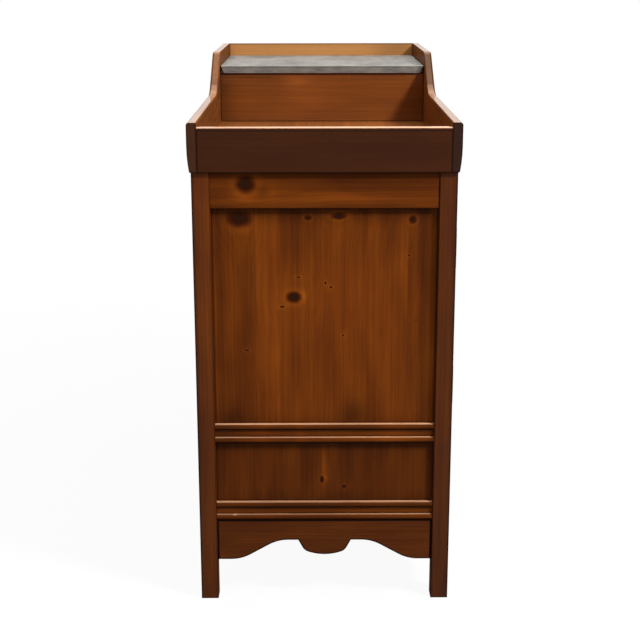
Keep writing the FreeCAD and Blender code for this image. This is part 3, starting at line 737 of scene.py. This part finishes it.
UPPER_SHADES = (
    Shade(-169, 556.8, 5.5, 1.6, 0.35),
    Shade(86.5, 600, 5.5, 240, -0.22),
    Shade(-56, 374, 28, 30, 0.52),
    Shade(180, 362, 52, 34, 0.45),
    # painted shade by the front post, painted light within that post's cast shadow, then a lighter
    # strip and a darker band by the back post
    Shade(-183, 560, 9, 330, 0.38),
    Shade(-200.5, 560, 6, 330, -0.75),
    Shade(201.5, 560, 2.4, 330, -0.55),
    Shade(190, 560, 5, 330, 0.18),
    Shade(39, 604, 5, 11, -0.38),
    Shade(-180, 720, 24, 60, 0.20),
    Shade(-119, 715, 22, 52, 0.20),
    Shade(50, 720, 36, 55, 0.20),
    Shade(-30, 580, 70, 110, -0.22),
    Shade(-142, 680, 3, 60, -0.20),
    Shade(-150, 610, 3, 50, -0.16),
    # painted shadow under the top rail
    Shade(0, 762, ALL, 22, 0.48),
)
LOWER_KNOTS = (Knot(4.8, 243, 3.4, 6.2), Knot(-37.3, 228.5, 5.2, 3.2))
LOWER_STRIPS = (Strip(-206, 0.95), Strip(-122, 0.88), Strip(-30, 0.96), Strip(22, 0.90),
                Strip(46, 1.02))
LOWER_SHADES = (
    Shade(1.5, 286, 4.5, 30, -0.55),
    Shade(-2.5, 258, 7, 22, -0.40),
    Shade(-3.5, 246, 4, 5, -0.45),
    # painted shadow under the mid rail
    Shade(0, 318.8, ALL, 15, 0.40),
)
MID_SHADES = (
    Shade(337, -130, ALL, 28, -0.30),
    Shade(337, 45, ALL, 8, -0.28),
    Shade(337, 118, ALL, 16, -0.22),
    Shade(337, 190, ALL, 34, 0.26),
    Shade(337, -206, ALL, 16, 0.30),
    # painted shade on the upper bead's body
    Shade(351.5, 0, 5.5, ALL, 0.24),
)
LOWER_RAIL_SHADES = (
    # painted shade on the upper bead's body, then the flat between the beads made lighter
    Shade(194.5, 0, 5.5, ALL, 0.24),
    Shade(181.2, 0, 5, ALL, -0.32),
)
# how level a surface must be to shine, and to be painted paler as a highlight on rims and bead tops
BEAD_CROWN = (0.66, 0.93)
LONG_RIM_CROWN = (0.78, 0.99)
LOW_RIM_CROWN = (0.45, 0.85)
NO_CROWN = (1.5, 2.0)
# the lines are the quirks beside the beads, darkened with stain and painted shade
MID_BEADS = {"lines": (330.8, 344.8), "crown": BEAD_CROWN}
LOWER_BEADS = {"lines": (174.6, 187.8), "crown": BEAD_CROWN}
UPPER_FRAME = (-206.0, 206.0, 356.8, 767.0)      # opening round an end's upper panel
LOWER_FRAME = (-206.0, 206.0, 199.8, 318.8)
BEAD_NICK = Knot(173.9, 171.5, 1.1, 3.2)
# aprons: wide eased arrises, with glazing and painted shade on their edges and undersides
APRON = {"ease": 4.0, "rim_glaze_and_shade": 0.95, "under": 0.05}


class DRYSINK_OT_ends(DressOperator, bpy.types.Operator):
    """Stain the rails, panels and aprons of both ends"""
    bl_idname = "drysink.ends"
    bl_label = "End frames"

    def dress(self, context):
        eased("left_end_top_rail", "Y", "X", tone=0.66, knots=RAIL_KNOTS, shades=RAIL_SHADES)
        dressed("left_end_mid_rail", "Y", "X", tone=0.68, rubbed=0.85, shades=MID_SHADES,
                **MID_BEADS)
        dressed("left_end_lower_rail", "Y", "X", tone=0.57, rubbed=0.65, shades=LOWER_RAIL_SHADES,
                chips=(BEAD_NICK,), **LOWER_BEADS)
        eased("left_end_apron", "Y", "X", tone=0.53, extra_shine=0.04, **APRON)
        dressed("left_end_upper_panel", "Z", "X", tone=0.86, knots=UPPER_KNOTS, strips=UPPER_STRIPS,
                shades=UPPER_SHADES, border=UPPER_FRAME)
        dressed("left_end_lower_panel", "Z", "X", tone=0.56, knots=LOWER_KNOTS, strips=LOWER_STRIPS,
                shades=LOWER_SHADES, border=LOWER_FRAME)
        eased("right_end_top_rail", "Y", "X", tone=0.82,
              knots=scattered_knots("right rail", 2, (780, 820), (-180, 180)))
        dressed("right_end_mid_rail", "Y", "X", tone=0.78, rubbed=0.6, **MID_BEADS)
        dressed("right_end_lower_rail", "Y", "X", tone=0.68, rubbed=0.6, **LOWER_BEADS)
        eased("right_end_apron", "Y", "X", tone=0.66, **APRON)
        dressed("right_end_upper_panel", "Z", "X", tone=0.88, border=UPPER_FRAME,
                knots=scattered_knots("right upper", 7, (-190, 190), (380, 750)),
                strips=uneven_strips("right upper", -206, 206, 4))
        dressed("right_end_lower_panel", "Z", "X", tone=0.72, border=LOWER_FRAME,
                knots=scattered_knots("right lower", 3, (-190, 190), (215, 305)),
                strips=uneven_strips("right lower", -206, 206, 4))


class DRYSINK_OT_front(DressOperator, bpy.types.Operator):
    """Stain the front's rails and apron"""
    bl_idname = "drysink.front"
    bl_label = "Front frame"

    def dress(self, context):
        eased("front_top_rail", "X", "Y", tone=0.82,
              knots=scattered_knots("front top rail", 4, (778, 822), (-430, 430)))
        dressed("front_mid_rail", "X", "Y", tone=0.78, rubbed=0.6, **MID_BEADS)
        dressed("front_lower_rail", "X", "Y", tone=0.70, rubbed=0.6, **LOWER_BEADS)
        eased("front_apron", "X", "Y", tone=0.68, **APRON,
              knots=scattered_knots("front apron", 3, (130, 155), (-420, 420)))


BRAD_RISE = 0.5 * MM
BRAD_CROWN = 0.55               # a brad's top as a share of its head's radius
BRAD_INSET = Vector((4 * MM, 0.0, 6 * MM))


class DRYSINK_OT_back(DressOperator, bpy.types.Operator):
    """Stain the back panel, fasten it with brads, and finish its rails"""
    bl_idname = "drysink.back"
    bl_label = "Back"

    def dress(self, context):
        dressed("back_panel", "Z", "Y", tone=0.8, strips=uneven_strips("back panel", -477, 477, 10),
                knots=scattered_knots("back panel", 9, (-450, 450), (190, 810)))
        dressed("back_rails", "X", "Y", raw=True)
        self.drive_brads(context.scene.dry_sink_metal)

    @staticmethod
    def drive_brads(settings):
        low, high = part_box("back_panel")
        first, last = low + BRAD_INSET, high - BRAD_INSET
        spots = []
        for axis, other in (("x", "z"), ("z", "x")):
            start, end = getattr(first, axis), getattr(last, axis)
            gaps = round((end - start) / settings.brad_spacing)
            for place in range(gaps + 1):
                for side in (getattr(first, other), getattr(last, other)):
                    along = start + (end - start) * place / gaps
                    if axis == "x":
                        spots.append(Vector((along, high.y, side)))
                    elif 0 < place < gaps:
                        spots.append(Vector((side, high.y, along)))
        brad = bmesh.new()
        bmesh.ops.create_cone(brad, cap_ends=True, segments=10, radius1=settings.brad_radius,
                              radius2=settings.brad_radius * BRAD_CROWN, depth=BRAD_RISE,
                              matrix=Matrix.Translation((0.0, 0.0, BRAD_RISE / 2)))
        steel = metal("dulled_brads", settings.steel, settings.rust, 0.45)
        driven("back_panel_brads", brad, spots, Vector((0.0, 1.0, 0.0)), steel, "case")


def driven(name, head, spots, out, material, body, turns=None):
    """Copies of one fastener's head, drawn along +Z, standing out of a face at each spot."""
    template = mesh_of(name + "_head", head)
    bm = bmesh.new()
    facing = out.to_track_quat("Z", "Y").to_matrix().to_4x4()
    for place, spot in enumerate(spots):
        before = len(bm.verts)
        bm.from_mesh(template)
        bm.verts.ensure_lookup_table()
        turn = Matrix.Rotation(turns[place] if turns else 0.0, 4, "Z")
        bmesh.ops.transform(bm, matrix=Matrix.Translation(spot) @ facing @ turn,
                            verts=bm.verts[before:])
    bpy.data.meshes.remove(template)
    return finished(name, bm, material, body)


GALLERY_SHADES = (
    Shade(990, 238, 40, 14, 0.25),
    Shade(1004, 0, 2.5, ALL, 0.64),
    # painted shadow of the front board's crest at this board's front end
    Shade(990, -185, 40, 60, 0.32),
)
# a dark line just below the low rim's rounding
LOW_END_SHADES = (Shade(907.6, 0, 1.8, ALL, 0.50),)
RISER_SHADES = (
    # painted shade in the corner by the back board
    Shade(905, 232, 200, 30, 0.40),
    Shade(942, 60, 12, 30, -0.34),
    Shade(925, 46, 34, 46, -0.20),
    Shade(949.5, 165, 2.2, 55, 0.34),
    Shade(915, -60, 30, 50, 0.10),
)


class DRYSINK_OT_tray(DressOperator, bpy.types.Operator):
    """Stain the tray's boards, the well's floor and the riser"""
    bl_idname = "drysink.tray"
    bl_label = "Tray"

    def dress(self, context):
        dressed("tray_front_board", "X", "Y", tone=0.78, fade=0.15, end_tone=0.42, extra_shine=0.12,
                rubbed=0.40, crown=LONG_RIM_CROWN, rim_tone=0.25,
                knots=scattered_knots("tray front", 3, (850, 905), (-480, 480)))
        dressed("tray_back_board", "X", "Y", tone=0.60, fade=0.15, end_tone=0.58, extra_shine=0.14,
                rubbed=0.40, crown=LONG_RIM_CROWN,
                knots=scattered_knots("tray back", 4, (850, 905), (-480, 480)))
        dressed("tray_left_board", "Y", "X", tone=0.26, extra_shine=0.11, rubbed=0.95, figure=0.5,
                crown=LOW_RIM_CROWN, shades=LOW_END_SHADES)
        # the raised end's board: its inner face paled as painted light, its outer face left darker
        dressed("tray_right_board", "Y", "X", tone=1.16, fade=0.62, extra_shine=0.05, figure=0.6,
                crown=NO_CROWN, shades=GALLERY_SHADES, outside=(1.0, 0.60))
        dressed("well_floor", "X", "Z", tone=1.02, fade=0.16,
                strips=uneven_strips("well floor", -226, 226, 5),
                knots=scattered_knots("well floor", 4, (-200, 200), (-460, 100)))
        dressed("shelf_riser", "Y", "X", tone=0.80, fade=0.08, extra_shine=0.20, figure=0.8,
                shades=RISER_SHADES)


class DRYSINK_OT_slate(DressOperator, bpy.types.Operator):
    """Finish the slate slab and the cleats under it"""
    bl_idname = "drysink.slate"
    bl_label = "Slate slab"

    def dress(self, context):
        paint(NODES["slate_slab"], slate())
        dressed("slate_cleats", "X", "Z", raw=True)


class DRYSINK_OT_inside(DressOperator, bpy.types.Operator):
    """Finish the plain pine inside the case"""
    bl_idname = "drysink.inside"
    bl_label = "Inside"

    def dress(self, context):
        dressed("cupboard_floor", "X", "Z", raw=True, strips=uneven_strips("floor", -215, 213, 4))
        for node, grain, face in (("floor_cleats", "X", "Z"), ("drawer_runners", "Y", "Z"),
                                  ("small_drawer_runners", "Y", "Z"), ("door_stop", "X", "Y")):
            dressed(node, grain, face, raw=True)
        eased("inner_shelf", "X", "Y", raw=True)


class DRYSINK_OT_doors(DressOperator, bpy.types.Operator):
    """Stain the two framed doors"""
    bl_idname = "drysink.doors"
    bl_label = "Doors"

    def dress(self, context):
        for side in ("left", "right"):
            door = "door_" + side
            eased(door + "_stiles", "Z", "Y", tone=0.80)
            eased(door + "_rails", "X", "Y", tone=0.82)
            low, high = (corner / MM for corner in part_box(door + "_panel"))
            dressed(door + "_panel", "Z", "Y", tone=0.90,
                    knots=scattered_knots(door, 4, (low.x + 20, high.x - 20), (430, 700)),
                    strips=uneven_strips(door, low.x, high.x, 4),
                    border=(low.x + 7, high.x - 7, low.z + 7, high.z - 7))


class DRYSINK_OT_drawers(DressOperator, bpy.types.Operator):
    """Finish the two drawers"""
    bl_idname = "drysink.drawers"
    bl_label = "Drawers"

    def dress(self, context):
        eased("drawer_front", "X", "Y", tone=0.80,
              knots=scattered_knots("drawer front", 4, (220, 300), (-440, 440)))
        eased("small_drawer_front", "X", "Y", tone=0.84,
              knots=scattered_knots("small drawer", 1, (890, 935), (190, 450)))
        dressed("drawer_sides", "Y", "X", raw=True)
        dressed("drawer_back", "X", "Y", raw=True)
        dressed("drawer_bottom", "X", "Z", raw=True, strips=uneven_strips("drawer", -230, 200, 4))
        dressed("small_drawer_box", "Y", "X", raw=True)


# a knob's turned profile from its shank outwards: radius and height over the wood, as
# shares of the head's radius
KNOB_TURNS = 40                 # faces round a knob
KNOB_PROFILE = (
    (0.0, -0.80), (0.333, -0.80), (0.333, 0.0), (0.633, 0.0), (0.633, 0.085), (0.615, 0.135),
    (0.570, 0.165), (0.505, 0.190), (0.455, 0.260), (0.440, 0.360), (0.455, 0.470), (0.520, 0.590),
    (0.640, 0.680), (0.790, 0.725), (0.900, 0.745), (0.960, 0.775), (0.993, 0.830), (1.0, 0.900),
    (0.985, 0.970), (0.945, 1.020), (0.885, 1.045), (0.868, 1.072), (0.800, 1.150), (0.640, 1.240),
    (0.440, 1.312), (0.220, 1.354), (0.0, 1.366),
)


class DRYSINK_OT_knobs(DressOperator, bpy.types.Operator):
    """Turn the wooden knobs"""
    bl_idname = "drysink.knobs"
    bl_label = "Knobs"

    def dress(self, context):
        for node in ("door_left_knob", "door_right_knob", "drawer_knobs", "small_drawer_knob"):
            low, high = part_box(node)
            radius = (high.z - low.z) / 2
            middle = (low + high) / 2
            wood = high.y + KNOB_PROFILE[0][1] * radius
            pair = high.x - low.x > 3 * radius
            bm = bmesh.new()
            for x in (low.x + radius, high.x - radius) if pair else (middle.x,):
                self.turn(bm, Vector((x, wood, middle.z)), radius)
            material = pine(node + "_pine", node, "Z", "Y", tone=0.78)
            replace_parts(finished(node + "_turned", bm, material, NODES[node]["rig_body"]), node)

    @staticmethod
    def turn(bm, place, radius):
        """Spin the profile round a line along -Y through a place on the wood's face."""
        corners = [bm.verts.new(place + Vector((share * radius, -out * radius, 0.0)))
                   for share, out in KNOB_PROFILE]
        outline = [bm.edges.new(pair) for pair in zip(corners, corners[1:])]
        bmesh.ops.spin(bm, geom=corners + outline, cent=place, axis=(0.0, 1.0, 0.0),
                       dvec=(0.0, 0.0, 0.0), angle=math.tau, steps=KNOB_TURNS,
                       use_merge=True)
        bmesh.ops.remove_doubles(bm, verts=bm.verts, dist=WELD)


SCREW_LEVELS_MM = (-30.0, -13.0, 13.0, 30.0)       # a leaf's screws, from its middle
LEAF_WIDE = 22 * MM
LEAF_HIGH = 76 * MM
LEAF_THICK = 1.2 * MM
# a screw head's top, rim and half slot as shares of its radius, and the slot's depth of its rise
SCREW_TOP, SCREW_RIM, SCREW_SLOT, SLOT_DEPTH = 0.82, 0.12, 0.15, 0.7


class DRYSINK_OT_hinges(DressOperator, bpy.types.Operator):
    """Finish the brass hinges and drive their screws"""
    bl_idname = "drysink.hinges"
    bl_label = "Hinges"

    def dress(self, context):
        settings = context.scene.dry_sink_metal
        brass = metal("aged_brass", settings.brass, settings.patina, 0.34, "Z")
        for node in ("hinge_frame_leaves", "hinge_pins", "door_left_hinge_leaves",
                     "door_right_hinge_leaves"):
            paint(NODES[node], brass)
        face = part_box("door_left_stiles")[0].y - LEAF_THICK
        low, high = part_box("hinge_frame_leaves")
        levels = (low.z + LEAF_HIGH / 2, high.z - LEAF_HIGH / 2)
        columns = {
            "case": (low.x + LEAF_WIDE / 2, high.x - LEAF_WIDE / 2),
            "door_left": (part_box("door_left_hinge_leaves")[1].x - LEAF_WIDE / 2,),
            "door_right": (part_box("door_right_hinge_leaves")[0].x + LEAF_WIDE / 2,),
        }
        chance = random.Random("screws")
        screws = metal("brass_screws", settings.brass, settings.patina, 0.30)
        for body, places in columns.items():
            spots = [Vector((x, face, level + up * MM))
                     for x in places for level in levels for up in SCREW_LEVELS_MM]
            turns = [chance.uniform(0.0, math.pi) for _ in spots]
            driven(body + "_hinge_screws", self.screw_head(settings), spots,
                   Vector((0.0, -1.0, 0.0)), screws, body, turns)

    @staticmethod
    def screw_head(settings):
        """Low domed head with a slot across it."""
        radius, rise = settings.screw_radius, settings.screw_rise
        bm = bmesh.new()
        bmesh.ops.create_cone(bm, cap_ends=True, segments=20, radius1=radius,
                              radius2=radius * SCREW_TOP, depth=rise,
                              matrix=Matrix.Translation((0.0, 0.0, rise / 2)))
        top = max(bm.faces, key=lambda polygon: polygon.calc_center_median().z)
        bmesh.ops.inset_region(bm, faces=[top], thickness=radius * SCREW_RIM,
                               use_even_offset=True)
        for way in (-1, 1):
            bmesh.ops.bisect_plane(bm, geom=[top, *top.edges, *top.verts], dist=0.1 * WELD,
                                   plane_co=(0.0, way * radius * SCREW_SLOT, 0.0),
                                   plane_no=(0.0, 1.0, 0.0))
            level = [part for part in bm.faces if part.calc_center_median().z > rise * 0.99]
            top = min(level, key=lambda part: part.calc_center_median().xy.length)
        sunk = bmesh.ops.extrude_face_region(bm, geom=[top])["geom"]
        bmesh.ops.delete(bm, geom=[top], context="FACES_ONLY")
        bmesh.ops.translate(bm, vec=(0.0, 0.0, -rise * SLOT_DEPTH),
                            verts=[part for part in sunk if isinstance(part, bmesh.types.BMVert)])
        return bm


class DRYSINK_OT_catches(DressOperator, bpy.types.Operator):
    """Finish the magnetic catches and the shelf pins"""
    bl_idname = "drysink.catches"
    bl_label = "Catches and pins"

    def dress(self, context):
        settings = context.scene.dry_sink_metal
        steel = metal("brushed_steel", settings.steel, settings.dull_steel, 0.36, "X")
        for node in ("catch_magnets", "door_left_strike", "door_right_strike", "shelf_pins"):
            paint(NODES[node], steel)


CAMERA_PLACE = Vector((-2.8302, 0.0202, 1.1853))
SENSOR_WIDTH = 36.0
FLOOR_HALF = 14.0
SHADOW_NEAR = 0.6               # inside this distance the floor keeps its whole shadow


class DRYSINK_OT_stage(DressOperator, bpy.types.Operator):
    """Set the floor, the lamps, the room and the camera"""
    bl_idname = "drysink.stage"
    bl_label = "Stage"

    def dress(self, context):
        studio = context.scene.dry_sink_studio
        context.scene.view_settings.view_transform = "Standard"
        self.set_floor(studio)
        self.set_room(context.scene, studio)
        self.set_lamp("Key", studio.key, (-1.7, -1.9, 2.7), (0.0, 0.0, 0.7), 0.50)
        self.set_lamp("Fill", studio.fill, (-3.2, 1.6, 1.7), (0.0, 0.0, 0.6), 1.4)
        self.set_lamp("Top", studio.top, (0.1, 0.0, 3.1), (0.1, 0.0, 0.0), 2.6)
        self.set_camera(context.scene, studio)

    @staticmethod
    def seen_directly(finish):
        """1 for what the camera, a reflection or a clear body sees, 0 for the rest."""
        path = finish.node("LightPath")
        seen = 0.0
        for kind in ("Is Camera Ray", "Is Glossy Ray", "Is Transmission Ray"):
            seen = finish.maths("MAXIMUM", path.outputs[kind], seen)
        return seen

    def set_floor(self, studio):
        bm = bmesh.new()
        bmesh.ops.create_grid(bm, x_segments=4, y_segments=4, size=FLOOR_HALF)
        floor = placed("studio_floor", mesh_of("studio_floor", bm))
        finish = Finish(bpy.data.materials.new("studio_floor"))
        seen = self.seen_directly(finish)
        shader = finish.tree.nodes["Principled BSDF"]
        dimmed = [part * studio.bounce for part in studio.floor]
        finish.join(shader.inputs["Base Color"], finish.mix(seen, dimmed, studio.floor))
        shader.inputs["Roughness"].default_value = 0.9
        shader.inputs["Specular IOR Level"].default_value = 0.0
        at = finish.places()
        away = (at["X"] * at["X"] + at["Y"] * at["Y"]).root() * MM
        plain = finish.smooth(away, SHADOW_NEAR, studio.clear)
        plain = plain * studio.shadow + (1 - studio.shadow)
        white = finish.node("Emission", None, {"Strength": 1.0})
        blend = finish.node("MixShader", None, {0: seen * plain, 1: shader.outputs[0],
                                                2: white.outputs[0]})
        out = finish.tree.nodes["Material Output"]
        finish.join(out.inputs["Surface"], blend.outputs[0])
        paint(floor, finish.owner)

    def set_room(self, scene, studio):
        scene.world = bpy.data.worlds.new("studio_room")
        finish = Finish(scene.world)
        strength = self.seen_directly(finish) * (1.0 - studio.room) + studio.room
        background = finish.tree.nodes["Background"]
        finish.join(background.inputs["Color"], (1.0, 1.0, 1.0))
        finish.join(background.inputs["Strength"], strength)

    def set_lamp(self, name, watts, place, target, size):
        lamp = bpy.data.lights.new(name, "AREA")
        lamp.energy = watts
        lamp.shape = "SQUARE"
        lamp.size = size
        held = placed(name, lamp)
        held.location = place
        held.rotation_mode = "QUATERNION"
        held.rotation_quaternion = (Vector(target) - Vector(place)).to_track_quat("-Z", "Y")

    def set_camera(self, scene, studio):
        camera = placed("Camera", bpy.data.cameras.new("Camera"))
        camera.data.lens = studio.lens
        camera.data.sensor_width = SENSOR_WIDTH
        heading = Matrix.Rotation(-math.pi / 2 - studio.look_aside, 4, "Z")
        pitch = Matrix.Rotation(math.pi / 2 - studio.look_down, 4, "X")
        roll = Matrix.Rotation(studio.tilt, 4, "Z")
        camera.matrix_world = Matrix.Translation(CAMERA_PLACE) @ heading @ pitch @ roll
        scene.camera = camera


STEPS = tuple(DressOperator.__subclasses__())     # in the order above
SETTINGS = {
    "dry_sink_stain": DrySinkStain,
    "dry_sink_stone": DrySinkStone,
    "dry_sink_metal": DrySinkMetal,
    "dry_sink_studio": DrySinkStudio,
}


class DRYSINK_PT_panel(bpy.types.Panel):
    """Lists the settings and the steps"""
    bl_label = "Dry Sink Cabinet"
    bl_idname = "DRYSINK_PT_panel"
    bl_space_type = "VIEW_3D"
    bl_region_type = "UI"
    bl_category = "Dry Sink"

    def draw(self, context):
        for group in SETTINGS:
            box = self.layout.box()
            box.label(text=group.removeprefix("dry_sink_").capitalize())
            settings = getattr(context.scene, group)
            for name in SETTINGS[group].__annotations__:
                box.prop(settings, name)
        for step in STEPS:
            self.layout.operator(step.bl_idname)


def register():
    for group, kind in SETTINGS.items():
        bpy.utils.register_class(kind)
        setattr(bpy.types.Scene, group, PointerProperty(type=kind))
    for kind in (*STEPS, DRYSINK_PT_panel):
        bpy.utils.register_class(kind)


def unregister():
    for kind in (DRYSINK_PT_panel, *reversed(STEPS)):
        bpy.utils.unregister_class(kind)
    for group, kind in SETTINGS.items():
        delattr(bpy.types.Scene, group)
        bpy.utils.unregister_class(kind)


def main():
    register()
    for step in STEPS:
        group, name = step.bl_idname.split(".")
        getattr(getattr(bpy.ops, group), name)()


if __name__ == "__main__":
    main()
